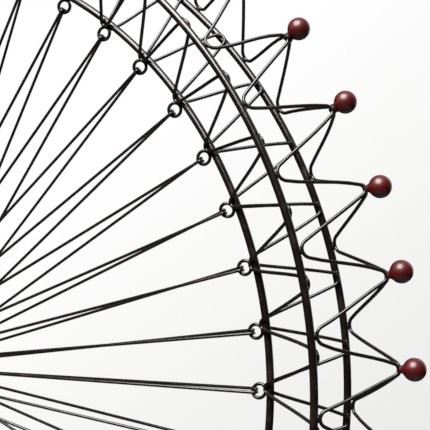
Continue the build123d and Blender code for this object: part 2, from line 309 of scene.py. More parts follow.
def mottledMaterial(name, look):
    material = bpy.data.materials.new(name)
    material.use_nodes = True
    tree = material.node_tree
    shader = tree.nodes["Principled BSDF"]
    mottle = tree.nodes.new("ShaderNodeGroup")
    mottle.node_tree = mottleGroup
    mottle.inputs["Patch Scale"].default_value = look["patchScale"]
    mottle.inputs["Grain Scale"].default_value = look["grainScale"]
    mottle.inputs["Patch Amount"].default_value = look["patchAmount"]
    colour = tree.nodes.new("ShaderNodeMix")
    colour.data_type = "RGBA"
    colour.inputs["A"].default_value = (*look["base"], 1)
    colour.inputs["B"].default_value = (*look["patch"], 1)
    tree.links.new(mottle.outputs["Patches"], colour.inputs["Factor"])
    speckle = tree.nodes.new("ShaderNodeMix")
    speckle.data_type = "RGBA"
    speckle.inputs["B"].default_value = (*look["speck"], 1)
    tree.links.new(colour.outputs["Result"], speckle.inputs["A"])
    specks = addRamp(tree, look["speckFrom"], look["speckFrom"] + 0.12)
    tree.links.new(mottle.outputs["Grain"], specks.inputs["Value"])
    tree.links.new(specks.outputs["Result"], speckle.inputs["Factor"])
    tree.links.new(speckle.outputs["Result"], shader.inputs["Base Color"])
    gloss = tree.nodes.new("ShaderNodeMapRange")
    gloss.inputs["From Min"].default_value = 0.3
    gloss.inputs["From Max"].default_value = 1.3
    gloss.inputs["To Min"].default_value = look["roughness"][0]
    gloss.inputs["To Max"].default_value = look["roughness"][1]
    worn = addMath(tree, "MULTIPLY", mottle.outputs["Patches"], 0.6)
    total = addMath(tree, "ADD", mottle.outputs["Grain"], worn.outputs[0])
    tree.links.new(total.outputs[0], gloss.inputs["Value"])
    tree.links.new(gloss.outputs["Result"], shader.inputs["Roughness"])
    bump = tree.nodes.new("ShaderNodeBump")
    bump.inputs["Strength"].default_value = look["bump"]
    bump.inputs["Distance"].default_value = look["bumpDepth"]
    tree.links.new(mottle.outputs["Height"], bump.inputs["Height"])
    tree.links.new(bump.outputs["Normal"], shader.inputs["Normal"])
    shader.inputs["Metallic"].default_value = look["metallic"]
    shader.inputs["Coat Weight"].default_value = look.get("coat", 0.0)
    shader.inputs["Coat Roughness"].default_value = look.get("coatRoughness", 0.2)
    shader.inputs["Specular IOR Level"].default_value = look.get("specular", 0.5)
    return material


looks = {
    "darkWire": {
        "base": (0.0050, 0.0038, 0.0034), "patch": (0.013, 0.0075, 0.006), "speck": (0.030, 0.020, 0.016),
        "patchScale": 90, "grainScale": 420, "patchAmount": 0.30, "speckFrom": 0.70,
        "roughness": (0.18, 0.28), "bump": 0.015, "bumpDepth": 0.20 * mm, "metallic": 0.0, "specular": 0.5,
    },
    "darkRod": {
        "base": (0.0050, 0.0038, 0.0034), "patch": (0.016, 0.009, 0.007), "speck": (0.036, 0.024, 0.019),
        "patchScale": 70, "grainScale": 360, "patchAmount": 0.34, "speckFrom": 0.68,
        "roughness": (0.18, 0.30), "bump": 0.025, "bumpDepth": 0.25 * mm, "metallic": 0.0, "specular": 0.6,
    },
    "solder": {
        "base": (0.0030, 0.0025, 0.0024), "patch": (0.008, 0.006, 0.005), "speck": (0.018, 0.014, 0.012),
        "patchScale": 200, "grainScale": 700, "patchAmount": 0.40, "speckFrom": 0.68,
        "roughness": (0.34, 0.55), "bump": 0.3, "bumpDepth": 0.3 * mm, "metallic": 0.0, "specular": 0.22,
    },
    "oxbloodPaint": {
        "base": (0.060, 0.0034, 0.0028), "patch": (0.048, 0.0030, 0.0026), "speck": (0.074, 0.006, 0.005),
        "patchScale": 110, "grainScale": 900, "patchAmount": 0.30, "speckFrom": 0.70,
        "roughness": (0.35, 0.39), "bump": 0.004, "bumpDepth": 0.05 * mm, "metallic": 0.0,
        "coat": 0.14, "coatRoughness": 0.22, "specular": 0.44,
    },
    "blackenedSteel": {
        "base": (0.040, 0.036, 0.034), "patch": (0.075, 0.066, 0.060), "speck": (0.16, 0.15, 0.14),
        "patchScale": 80, "grainScale": 800, "patchAmount": 0.35, "speckFrom": 0.66,
        "roughness": (0.26, 0.45), "bump": 0.2, "bumpDepth": 0.15 * mm, "metallic": 0.85,
    },
    "screwSteel": {
        "base": (0.16, 0.15, 0.145), "patch": (0.09, 0.08, 0.075), "speck": (0.3, 0.29, 0.28),
        "patchScale": 150, "grainScale": 900, "patchAmount": 0.30, "speckFrom": 0.68,
        "roughness": (0.25, 0.42), "bump": 0.15, "bumpDepth": 0.1 * mm, "metallic": 0.9,
    },
    "bushBrass": {
        "base": (0.42, 0.27, 0.10), "patch": (0.26, 0.15, 0.06), "speck": (0.55, 0.38, 0.17),
        "patchScale": 120, "grainScale": 900, "patchAmount": 0.34, "speckFrom": 0.66,
        "roughness": (0.24, 0.42), "bump": 0.12, "bumpDepth": 0.1 * mm, "metallic": 0.95,
    },
    "footRubber": {
        "base": (0.012, 0.012, 0.012), "patch": (0.022, 0.021, 0.020), "speck": (0.035, 0.034, 0.033),
        "patchScale": 90, "grainScale": 1200, "patchAmount": 0.40, "speckFrom": 0.60,
        "roughness": (0.62, 0.85), "bump": 0.35, "bumpDepth": 0.15 * mm, "metallic": 0.0,
    },
}
finish = {name: mottledMaterial(name, look) for name, look in looks.items()}
print("materials made:", len(finish))


def makeRing(name, radius, y, node):
    deselect()
    bpy.ops.mesh.primitive_torus_add(
        major_radius=radius, minor_radius=rodRadius, major_segments=288, minor_segments=18,
        location=hubCentre + axleWay * y, rotation=(math.radians(90), 0, 0),
    )
    ring = applyPlace(bpy.context.object)
    ring.name = name
    ring.data.name = name
    # Rolled by hand: the rod wavers by a few tenths of a millimetre inwards
    wander = {3: 0.16 * mm, 7: 0.10 * mm, 17: 0.05 * mm}
    phase = random.Random(name).uniform(0, math.tau)
    for vertex in ring.data.vertices:
        spread = vertex.co - hubCentre
        turn = math.atan2(spread.z, spread.x)
        dip = sum(size * (math.sin(waves * turn + phase * waves) - 1) / 2 for waves, size in wander.items())
        out = Vector((math.cos(turn), 0, math.sin(turn)))
        vertex.co += out * dip
    smoothShade(ring, 80)
    return finishPiece(ring, "wheel", finish["darkRod"], "wheel_wire", node)


makeRing("frontRimRing", wheelSizes["rimRing"], -wheelSizes["rimOffset"], "front_rim_ring")
makeRing("rearRimRing", wheelSizes["rimRing"], wheelSizes["rimOffset"], "rear_rim_ring")
makeRing("innerRing", wheelSizes["innerRing"], 0, "inner_ring")
print("rings made")


def zigzagWire(name, tips, bendRadii, count, start, shifts, sway):
    # tips: (radius, y) of the outer and the inner bends. A shift is (degrees, radius, y) of one bend
    pitch = 360 / count
    (outerRadius, outerY), (innerRadius, innerY) = tips
    slope = math.atan2(outerY - innerY, outerRadius - innerRadius)
    slant = math.hypot(outerRadius - innerRadius, outerY - innerY) - sum(bendRadii)
    halfSpan = math.radians(pitch / 2) * (innerRadius + outerRadius) / 2
    lean = math.atan2(halfSpan, slant) - math.asin(sum(bendRadii) / math.hypot(halfSpan, slant))
    handle = 0.33 * slant / math.cos(lean)
    stations = []
    for i in range(2 * count):
        isInner = i % 2
        radius, y = tips[isInner]
        turn, radial, sideways = shifts[isInner][i // 2]
        angle = start + i * pitch / 2 + turn
        tip = wheelPoint(radius + radial, angle, y + sideways)
        opening = outwards(angle) * math.cos(slope) + axleWay * math.sin(slope)
        if not isInner:
            opening = -opening
        beside = outwards(angle + 90)
        bendRadius = bendRadii[isInner] * handwork.uniform(0.92, 1.1)
        centre = tip + opening * bendRadius
        for side in (-1, 1):
            # The legs leave a bend a little too wide, and bow back on their way to the next one
            legLean = lean + math.radians(max(0.0, handwork.gauss(*sway)))
            leg = opening * math.cos(legLean) + beside * side * math.sin(legLean)
            end = centre + (beside * side * math.cos(legLean) - opening * math.sin(legLean)) * bendRadius
            pull = 4 / 3 * math.tan((math.pi / 2 - legLean) / 4) * bendRadius
            legEnd, arcEnd = end + leg * handle, end - leg * pull
            if side < 0:
                stations.append((legEnd, end, arcEnd))
                stations.append((tip - beside * pull, tip, tip + beside * pull))
            else:
                stations.append((arcEnd, end, legEnd))
    return curveWire(name, stations, wireRadius, closed=True, sides=4, steps=6)


handwork = random.Random(48)

# Degrees that the bends, balls and eyelets seen in the photograph lie off their even places:
# the number of the first one, then one value each
seenTurns = {
    "frontLatticeOuter": (5, (0.73, 0.64, 0.36, 0.19, 0.26, 0.50, 0.50, 0.32)),
    "frontLatticeInner": (5, (0.50, 0.48, 0.13, 0.48, 0.56, 0.61, 0.44, 0.36)),
    "rearLatticeOuter": (5, (0.64, 0.81, 0.61, 0.75, 0.56, 0.94, 0.81, 0.97)),
    "rearLatticeInner": (5, (0.60, 0.68, 0.76, 0.61, 0.60, 0.72, 0.35, 0.13)),
    "frontCrownRing": (5, (-0.42, -0.60, -0.24, -0.42, -0.36, -0.84)),
    "rearCrownRing": (5, (-0.54, -0.24, 0.30, 0.24, 0.42, -0.48, -0.06)),
    "balls": (6, (-0.24, 0.16, -0.26, -0.10, -0.14)),
    "eyelets": (6, (0.13, -0.20, 0.14, 0.10, -0.06, -0.07, 0.18, -0.05, 0.0)),
}


def scatter(name, count, turn, degrees, radial, sideways):
    # Hand-made unevenness of each bend: (degrees round the wheel, radius, y)
    spread = [
        (handwork.gauss(turn, degrees), -abs(handwork.gauss(0, radial)), handwork.gauss(0, sideways))
        for _ in range(count)
    ]
    first, turns = seenTurns[name]
    for i, seen in enumerate(turns, first):
        spread[i] = (seen, *spread[i][1:])
    return spread


lattice = {
    "innerLap": {-1: 1.2 * mm, 1: 1.9 * mm},  # past where the wire touches the inner ring
    "outerLap": 0.4 * mm,
    "turn": {-1: 0.45, 1: 0.65},  # degrees, of each side's bends past the eyelets
    "bendRadii": (3.7 * mm, 2.7 * mm),
    "seatGap": 0.02 * mm,
    "sway": (1.5, 1.5),
}


def latticeTips(side):
    clear = wireRadius + rodRadius + lattice["seatGap"]
    depth = wheelSizes["rimRing"] - wheelSizes["innerRing"]
    offset = wheelSizes["rimOffset"]
    slope = math.atan2(offset, depth) - math.asin(2 * clear / math.hypot(depth, offset))
    innerLap = lattice["innerLap"][side]
    innerRadius = wheelSizes["innerRing"] - clear * math.sin(slope) - innerLap * math.cos(slope)
    innerY = clear * math.cos(slope) - innerLap * math.sin(slope)
    outerRadius = wheelSizes["rimRing"] + clear * math.sin(slope) + lattice["outerLap"] * math.cos(slope)
    outerY = offset - clear * math.cos(slope) + lattice["outerLap"] * math.sin(slope)
    return (outerRadius, side * outerY), (innerRadius, side * innerY)


latticeCount = wheelSizes["latticePoints"]
latticePitch = 360 / latticeCount
latticeBends = {}
for sideName, side in (("front", -1), ("rear", 1)):
    tips = latticeTips(side)
    turn = lattice["turn"][side]
    shifts = (
        scatter(sideName + "LatticeOuter", latticeCount, turn, 0.18, 0.25 * mm, 0.03 * mm),
        scatter(sideName + "LatticeInner", latticeCount, turn, 0.15, 0.15 * mm, 0.0),
    )
    wire = zigzagWire(
        sideName + "LatticeWire", tips, lattice["bendRadii"], latticeCount, latticePitch / 2, shifts,
        lattice["sway"],
    )
    finishPiece(wire, "wheel", finish["darkWire"], "wheel_wire", sideName + "_lattice_wire")
    latticeBends[side] = (tips, shifts)
print("lattice wires made")

crown = {
    "bendRadii": (3.3 * mm, 5.0 * mm),
    "ballGap": 1.0 * mm,  # from the bend to the ball, bridged by solder
    "pairGap": 0.03 * mm,  # of each wire from the middle plane, where the two meet at a ball
    "seatGap": 0.02 * mm,
    "sway": (2.5, 2.5),
    "neckReach": 8.4 * mm,
    # The balls seen in the photograph: millimetres outwards and along the axle, and lean in degrees
    "seenBalls": {
        10: (-0.84, -3.5, 0), 9: (0, -0.1, 0), 8: (0, 0, 11.5), 7: (-0.15, -1.0, -5), 6: (-0.1, 1.5, 1),
    },
}
crownCount = wheelSizes["crownPoints"]
crownPitch = 360 / crownCount
ballShift = scatter("balls", crownCount, 0.0, 0.14, 0.3 * mm, 0.7 * mm)
# Degrees by which a ball's neck leans round the wheel, and where that takes the crown's bends
ballLean = [handwork.gauss(0, 4) for _ in range(crownCount)]
for i, (radial, y, lean) in crown["seenBalls"].items():
    ballShift[i] = (ballShift[i][0], radial * mm, y * mm)
    ballLean[i] = lean
neckTurn = math.degrees(crown["neckReach"] / wheelSizes["ballCircle"])
tipShift = [
    (turn + neckTurn * math.sin(math.radians(lean)), radial, y)
    for lean, (turn, radial, y) in zip(ballLean, ballShift)
]
crownBends = {}
for sideName, side in (("front", -1), ("rear", 1)):
    ringTip = wheelSizes["rimRing"] + rodRadius + wireRadius + crown["seatGap"]
    ballTip = wheelSizes["ballCircle"] - wheelSizes["ballRadius"] - wireRadius - crown["ballGap"]
    tips = (ballTip, side * (wireRadius + crown["pairGap"])), (ringTip, side * wheelSizes["rimOffset"])
    shifts = tipShift, scatter(sideName + "CrownRing", crownCount, -0.1, 0.28, 0.0, 0.15 * mm)
    wire = zigzagWire(
        sideName + "CrownWire", tips, crown["bendRadii"], crownCount, 0, shifts, crown["sway"],
    )
    finishPiece(wire, "wheel", finish["darkWire"], "wheel_wire", sideName + "_crown_wire")
    crownBends[side] = (tips, shifts)
print("crown wires made")


# Each ball carries the neck that joins it to the crown
ball = {
    "steps": 32,
    "polarSteps": 15,
    "neckStart": 35,  # degrees from the pole that faces the hub
    # Outline of the neck: distance from the ball's middle towards the hub, and radius
    "neck": ((5.45, 3.25), (6.1, 2.55), (6.8, 2.15), (7.6, 2.0), (8.2, 1.8), (8.45, 1.3), (8.45, 0.0)),
    "darkNecks": (9, 10),  # joined with bare solder: the others of the view are painted over
    "paintedNecks": (6, 7, 8),
}


def makeBall():
    radius = wheelSizes["ballRadius"]
    stepAngle = math.radians(180 - ball["neckStart"]) / ball["polarSteps"]
    polar = [i * stepAngle for i in range(ball["polarSteps"] + 1)]
    outline = [(-radius * math.cos(angle), radius * math.sin(angle)) for angle in polar]
    outline += [(distance * mm, radius * mm) for distance, radius in ball["neck"]]
    piece = spunPiece("tipBall", outline, (0, 0, 0), (0, 0, -1), steps=ball["steps"])
    return smoothShade(piece, 80)


modelBall = makeBall()
balls = []
for i in range(crownCount):
    turn, radial, y = ballShift[i]
    place = wheelPlace(wheelSizes["ballCircle"] + radial, i * crownPitch + turn, y)
    balls.append(copyTo(modelBall, place @ Matrix.Rotation(math.radians(ballLean[i]), 4, "Y")))
discard(modelBall)
finishPiece(joinAll(balls, "tipBalls"), "wheel", finish["oxbloodPaint"], "oxblood_ball", "tip_balls")
print("balls made")


eyelet = {"mean": 4.0 * mm, "segments": 28, "ringSides": 10, "sink": 0.15 * mm}
eyeletRadius = wheelSizes["innerRing"] - rodRadius - eyelet["mean"] - wireRadius + eyelet["sink"]
deselect()
bpy.ops.mesh.primitive_torus_add(
    major_radius=eyelet["mean"], minor_radius=wireRadius, major_segments=eyelet["segments"],
    minor_segments=eyelet["ringSides"], rotation=(math.radians(90), 0, 0),
)
modelEyelet = smoothShade(applyPlace(bpy.context.object), 80)
eyelets = []
eyeletShift = [turn for turn, _, _ in scatter("eyelets", latticeCount, 0.0, 0.1, 0.0, 0.0)]
for i, turn in enumerate(eyeletShift):
    tilt = handwork.gauss(0, 7)
    place = wheelPlace(eyeletRadius, i * latticePitch + turn, 0) @ Matrix.Rotation(math.radians(tilt), 4, "Z")
    eyelets.append(copyTo(modelEyelet, place))
discard(modelEyelet)
finishPiece(joinAll(eyelets, "spokeEyelets"), "wheel", finish["darkWire"], "wheel_wire", "spoke_eyelets")
print("eyelets made")


# Each spoke is hooked through an eyelet
spoke = {
    "radius": 0.92 * mm,
    "hookDrop": 2.05 * mm,  # of the hook below the eyelet's middle
    "apart": 0.9 * mm,  # of each spoke of a pair from the pair's middle
    "overRim": 2.0 * mm,
    "stub": 1.8 * mm,
    "bend": 1.3 * mm,
    "footRadius": 20.0 * mm,
    "footY": 20.0 * mm,
    "footTurn": 7.5,  # degrees, by which the two spokes of a pair lean past each other at the hub
    # Degrees off that, for the spokes seen in the photograph from the sixth on
    "seen": {
        -1: (3.7, 3.7, 0.0, -2.0, 3.7, 3.0, 3.7, -3.7, -3.7, -3.7),
        1: (-3.7, 1.5, 1.0, 1.5, -3.7, 3.7, 3.7, -3.0, -3.0, 3.7),
    },
}
spokeFeet = {}
for sideName, side in (("front", -1), ("rear", 1)):
    spokes, spokeFeet[side] = [], []
    for i in range(latticeCount):
        angle = i * latticePitch + eyeletShift[i]
        beside = outwards(angle + 90) * side * spoke["apart"]
        seen = spoke["seen"][side]
        lean = seen[i - 6] if 6 <= i < 6 + len(seen) else handwork.gauss(0, 1.2)
        footAngle = angle - side * spoke["footTurn"] + lean
        foot = wheelPoint(spoke["footRadius"], footAngle, side * spoke["footY"]) + beside
        spokeFeet[side].append((footAngle, foot))
        corners = [
            wheelPoint(eyeletRadius - spoke["hookDrop"], angle, -side * spoke["stub"]) + beside,
            wheelPoint(eyeletRadius - spoke["hookDrop"] + 0.2 * mm, angle, side * spoke["overRim"]) + beside,
            foot,
        ]
        radii = (0, spoke["bend"], 0)
        spokes.append(bentWire("spoke", corners, radii, spoke["radius"], sides=4, steps=4))
    piece = joinAll(spokes, sideName + "Spokes")
    finishPiece(piece, "wheel", finish["darkWire"], "wheel_wire", sideName + "_spokes")
print("spokes made")


# Sizes along the rim, along the axle and away from the hub
solder = {
    "unevenness": 0.16,
    "crownFoot": (2.1 * mm, 1.1 * mm, 0.75 * mm),
    "latticeOuter": (1.1 * mm, 0.7 * mm, 1.3 * mm),
    "latticeInner": (1.0 * mm, 0.7 * mm, 1.3 * mm),
    "latticeTurns": (0.62, 0.5),  # degrees, of the outer and the inner lumps from their bend
    "latticeDrop": 0.9 * mm,  # of those lumps, from the ring's centreline
    "latticeSide": 1.9 * mm,
    "eyeletFoot": (1.9 * mm, 1.2 * mm, 0.9 * mm),
    "darkNeck": (2.9 * mm, 2.7 * mm, 2.5 * mm),
    "darkNeckDrop": 1.3 * mm,
    "darkShare": 0.45,  # of the balls outside the photograph
    "paintedNeck": (1.9 * mm, 2.0 * mm, 0.8 * mm),
    "paintedNeckDrop": 2.4 * mm,
    "spokeFoot": (1.1 * mm, 0.6 * mm, 1.9 * mm),
}


def makeLump():
    deselect()
    bpy.ops.mesh.primitive_ico_sphere_add(subdivisions=2, radius=1)
    lump = bpy.context.object
    for polygon in lump.data.polygons:
        polygon.use_smooth = True
    return lump


def solderLumps(name, spots, body="wheel", slot="wheel_wire"):
    # Each spot is (place, (size along X, Y, Z)) with the lump's own uneven surface
    model = makeLump()
    lumps = []
    for place, size in spots:
        lump = copyTo(model, place @ Matrix.Diagonal((*size, 1)))
        for vertex in lump.data.vertices:
            vertex.co *= 1 + handwork.uniform(-1, 1) * solder["unevenness"]
        lumps.append(lump)
    discard(model)
    return finishPiece(joinAll(lumps, name), body, finish["solder"], slot)


rimSpots = []
for side, (tips, shifts) in crownBends.items():
    for i in range(crownCount):
        angle = (i + 0.5) * crownPitch + shifts[1][i][0]
        crownFoot = wheelSizes["rimRing"] + rodRadius + 0.15 * mm
        rimSpots.append((wheelPlace(crownFoot, angle, side * wheelSizes["rimOffset"]), solder["crownFoot"]))
for side, (tips, shifts) in latticeBends.items():
    for i in range(latticeCount):
        for lean in (-1, 1):
            angle = (i + 0.5) * latticePitch + shifts[0][i][0] + lean * solder["latticeTurns"][0]
            y = side * (wheelSizes["rimOffset"] - solder["latticeSide"])
            place = wheelPlace(wheelSizes["rimRing"] + solder["latticeDrop"], angle, y)
            rimSpots.append((place, solder["latticeOuter"]))
solderLumps("rimSolder", rimSpots)

innerSpots = []
for i in range(latticeCount):
    angle = i * latticePitch
    place = wheelPlace(wheelSizes["innerRing"] - rodRadius - 0.1 * mm, angle + eyeletShift[i], 0)
    innerSpots.append((place, solder["eyeletFoot"]))
    for side in (-1, 1):
        shift = latticeBends[side][1][1][i - 1][0]
        for lean in (-1, 1):
            turned = angle + shift + lean * solder["latticeTurns"][1]
            radius = wheelSizes["innerRing"] - solder["latticeDrop"]
            place = wheelPlace(radius, turned, side * solder["latticeSide"])
            innerSpots.append((place, solder["latticeInner"]))
solderLumps("innerRingSolder", innerSpots)

neckSpots = []
for i in range(crownCount):
    isPainted = i in ball["paintedNecks"]
    isDark = i in ball["darkNecks"] or (not isPainted and handwork.random() < solder["darkShare"])
    neckKind = "darkNeck" if isDark else "paintedNeck"
    turn, radial, y = tipShift[i]
    neck = wheelSizes["ballCircle"] - wheelSizes["ballRadius"] + radial - solder[neckKind + "Drop"]
    neckSpots.append((wheelPlace(neck, i * crownPitch + turn, y), solder[neckKind]))
solderLumps("ballNeckSolder", neckSpots)

footSpots = []
for side, feet in spokeFeet.items():
    for angle, foot in feet:
        place = wheelPlace(spoke["footRadius"], angle, 0)
        place.translation = foot + outwards(angle) * 1.0 * mm + axleWay * side * 0.4 * mm
        footSpots.append((place, solder["spokeFoot"]))
solderLumps("spokeFootSolder", footSpots)
print("solder made")


hub = {
    "barrelRadius": 8.0 * mm,
    "flangeRadius": 26.0 * mm,
    "chamfer": 0.6 * mm,
    "edge": 0.4 * mm,
    "turnedLines": (24.6 * mm, 15.0 * mm, 11.0 * mm),
}
axleRadius = 3.175 * mm
runningGap = 0.06 * mm


def alongAxle(node):
    low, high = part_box(node)
    return low.y, high.y


def axlePoint(y):
    return (hubCentre.x, y, hubCentre.z)


def tubeOutline(length, outer, inner):
    return [(0, inner), (0, outer), (length, outer), (length, inner)]


def tubeOnAxle(name, y0, y1, outer, inner, bevel):
    return spunPiece(name, tubeOutline(y1 - y0, outer, inner), axlePoint(y0), axleWay, bevel=bevel)


y0, y1 = alongAxle("hub_barrel")
length, wide, chamfer = y1 - y0, hub["barrelRadius"], hub["chamfer"]
barrelOutline = [
    (0, axleRadius), (0, wide - chamfer), (chamfer, wide),
    (length - chamfer, wide), (length, wide - chamfer), (length, axleRadius),
]
barrel = spunPiece("hubBarrel", barrelOutline, axlePoint(y0), axleWay, bevel=0.15 * mm)
finishPiece(barrel, "wheel", finish["blackenedSteel"], "hub_steel", "hub_barrel")
for sideName, side in (("front", -1), ("rear", 1)):
    y0, y1 = alongAxle(sideName + "_hub_flange")
    inward, thick, edge = (y1, y0)[side > 0], y1 - y0, hub["edge"]
    outline = [(0, hub["barrelRadius"]), (0, hub["flangeRadius"] - edge), (edge, hub["flangeRadius"])]
    outline += [(thick - edge, hub["flangeRadius"]), (thick, hub["flangeRadius"] - edge)]
    for turned in hub["turnedLines"]:
        outline += [(thick, turned + edge), (thick - edge, turned), (thick, turned - edge)]
    outline.append((thick, hub["barrelRadius"]))
    flange = spunPiece(sideName + "HubFlange", outline, axlePoint(inward), axleWay * side, steps=96)
    finishPiece(flange, "wheel", finish["blackenedSteel"], "hub_steel", sideName + "_hub_flange")

y0, y1 = alongAxle("axle")
axleOutline = [
    (0, 0), (0, axleRadius - 0.5 * mm), (0.5 * mm, axleRadius),
    (y1 - y0 - 0.5 * mm, axleRadius), (y1 - y0, axleRadius - 0.5 * mm), (y1 - y0, 0),
]
axle = spunPiece("turnedAxle", axleOutline, axlePoint(y0), axleWay)
finishPiece(axle, "wheel", finish["blackenedSteel"], "hub_steel", "axle")
y0, y1 = alongAxle("axle_collar")
collar = tubeOnAxle("axleCollar", y0, y1, 7.0 * mm, axleRadius, 0.5 * mm)
finishPiece(collar, "wheel", finish["blackenedSteel"], "hub_steel", "axle_collar")

y0, y1 = alongAxle("thrust_washers")
washers = [
    tubeOnAxle("washer", y0, y0 + 1.0 * mm, 6.5 * mm, axleRadius, 0.15 * mm),
    tubeOnAxle("washer", y1 - 1.0 * mm, y1, 6.5 * mm, axleRadius, 0.15 * mm),
]
finishPiece(joinAll(washers, "thrustWashers"), "wheel", finish["screwSteel"], "hub_steel", "thrust_washers")

bushes = []
for sideName in ("front", "rear"):
    y0, y1 = alongAxle(sideName + "_bearing_sleeve")
    sleeve = tubeOnAxle(sideName + "BearingSleeve", y0, y1, 7.0 * mm, 5.05 * mm, 0.3 * mm)
    finishPiece(sleeve, "stand", finish["darkRod"], "stand_rod", sideName + "_bearing_sleeve")
    bushes.append(tubeOnAxle("bush", y0, y1, 5.0 * mm, axleRadius + runningGap, 0.2 * mm))
finishPiece(joinAll(bushes, "axleBushes"), "stand", finish["bushBrass"], "bush_brass", "axle_bushes")


def grubScrew(y, topZ):
    # A headless screw with a hexagon socket, standing on the axle
    length = topZ - hubCentre.z - axleRadius
    outline = [
        (0, 0), (0, 1.7 * mm), (0.3 * mm, 2.0 * mm),
        (length - 0.2 * mm, 2.0 * mm), (length, 1.8 * mm), (length, 0),
    ]
    screw = spunPiece("grubScrew", outline, (0, y, hubCentre.z + axleRadius), (0, 0, 1), steps=32)
    activate(screw)
    bpy.ops.mesh.primitive_cylinder_add(vertices=6, radius=1.15 * mm, depth=3.2 * mm, location=(0, y, topZ))
    socket = bpy.context.object
    cut = screw.modifiers.new("socket", "BOOLEAN")
    cut.operation = "DIFFERENCE"
    cut.solver = "EXACT"
    cut.object = socket
    applyModifiers(screw)
    discard(socket)
    return smoothShade(screw, 30)


def screwSpots(node):
    # The node's screws stand apart along Y: their places are the two ends of its box
    low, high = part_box(node)
    half = 2.09 * mm
    return low.y + half, high.y - half


barrelTop = hubCentre.z + hub["barrelRadius"] + 0.05 * mm
hubScrews = [grubScrew(y, barrelTop) for y in screwSpots("hub_set_screws")]
hubSetScrews = joinAll(hubScrews, "hubSetScrews")
finishPiece(hubSetScrews, "wheel", finish["screwSteel"], "screw_steel", "hub_set_screws")
crankScrewY, collarScrewY = screwSpots("lock_screws")
lockScrews = [
    grubScrew(crankScrewY, hubCentre.z + 6.55 * mm),
    grubScrew(collarScrewY, hubCentre.z + 7.05 * mm),
]
finishPiece(joinAll(lockScrews, "lockScrews"), "wheel", finish["screwSteel"], "screw_steel", "lock_screws")
print("hub made")


crank = {
    "throw": 60.0 * mm,
    "width": 13.0 * mm,
    "thickness": 4.0 * mm,
    "pinRadius": 2.5 * mm,
    "knobRadius": 11.0 * mm,
    "bossRadius": 6.5 * mm,
}
pinCentre = hubCentre - Vector((0, 0, crank["throw"]))
forwards = Vector((0, -1, 0))

armLow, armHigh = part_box("crank_arm")
deselect()
bpy.ops.mesh.primitive_cylinder_add(
    vertices=64, radius=crank["width"] / 2, depth=crank["thickness"],
    location=(0, armLow.y + crank["thickness"] / 2, hubCentre.z), rotation=(math.radians(90), 0, 0),
)
arm = applyPlace(bpy.context.object)
for vertex in arm.data.vertices:
    if vertex.co.z < hubCentre.z - 0.01 * mm:
        vertex.co.z -= crank["throw"]
softenEdges(arm, 0.7 * mm, segments=3)
bossStart = armLow.y + crank["thickness"] - 0.3 * mm  # sunk a little into the arm
boss = tubeOnAxle("boss", bossStart, armHigh.y, crank["bossRadius"], axleRadius, 0.4 * mm)
arm = smoothShade(joinAll([arm, boss], "crankArm"), 40)
finishPiece(arm, "wheel", finish["blackenedSteel"], "hub_steel", "crank_arm")

pinLow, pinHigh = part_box("crank_pin")
shankLength = pinHigh.y - pinLow.y
pinOutline = [
    (0, 0), (0, 3.6 * mm), (0.5 * mm, 4.4 * mm), (1.9 * mm, 4.5 * mm), (1.9 * mm, crank["pinRadius"]),
    (shankLength - 0.5 * mm, crank["pinRadius"]), (shankLength, crank["pinRadius"] - 0.5 * mm),
    (shankLength, 0),
]
pin = spunPiece("crankPin", pinOutline, (0, pinHigh.y, pinCentre.z), forwards, steps=48)
finishPiece(pin, "wheel", finish["screwSteel"], "hub_steel", "crank_pin")

knobLow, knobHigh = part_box("crank_knob")
knobLength = knobHigh.y - knobLow.y
knobStations = (
    (0.00, 0.54), (0.02, 0.58), (0.12, 0.59), (0.20, 0.66), (0.30, 0.82), (0.42, 0.95), (0.54, 1.00),
    (0.555, 0.965), (0.57, 1.00), (0.63, 1.00), (0.645, 0.965), (0.66, 1.00), (0.78, 0.94),
    (0.88, 0.82), (0.95, 0.68), (0.985, 0.60), (1.00, 0.56),
)
knobOutline = [(share * knobLength, wide * crank["knobRadius"]) for share, wide in knobStations]
bore = crank["pinRadius"] + runningGap
knobOutline = [(0, bore), *knobOutline, (knobLength, bore)]
knob = spunPiece("crankKnob", knobOutline, (0, knobHigh.y, pinCentre.z), forwards, steps=64)
smoothShade(knob, 60)
finishPiece(knob, "knob", finish["oxbloodPaint"], "oxblood_knob", "crank_knob")

nutLow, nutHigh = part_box("pin_nut")
nutOutline = tubeOutline(nutHigh.y - nutLow.y, 4.6 * mm, crank["pinRadius"])
nut = spunPiece("pinNut", nutOutline, (0, nutHigh.y, pinCentre.z), forwards, steps=6, bevel=0.3 * mm)
finishPiece(nut, "wheel", finish["screwSteel"], "screw_steel", "pin_nut")
print("crank made")


stand = {
    "rodRadius": 3.2 * mm,
    "wrap": 10.55 * mm,  # the bend of the legs round the sleeve
    "footX": 3.45 * mm,  # of the legs' ends inside their box
    "footY": 110 * mm,
    "baseRadius": 2.9 * mm,
    "baseInset": 3.35 * mm,  # of the base's centreline inside its box
    "corner": 28.0 * mm,
    "legBraze": (4.7 * mm, 3.7 * mm, 2.2 * mm),
    "legBrazeUp": 3.6 * mm,
    "barBraze": (2.7 * mm, 3.5 * mm, 3.4 * mm),
}
legEnds, barEnds = [], []

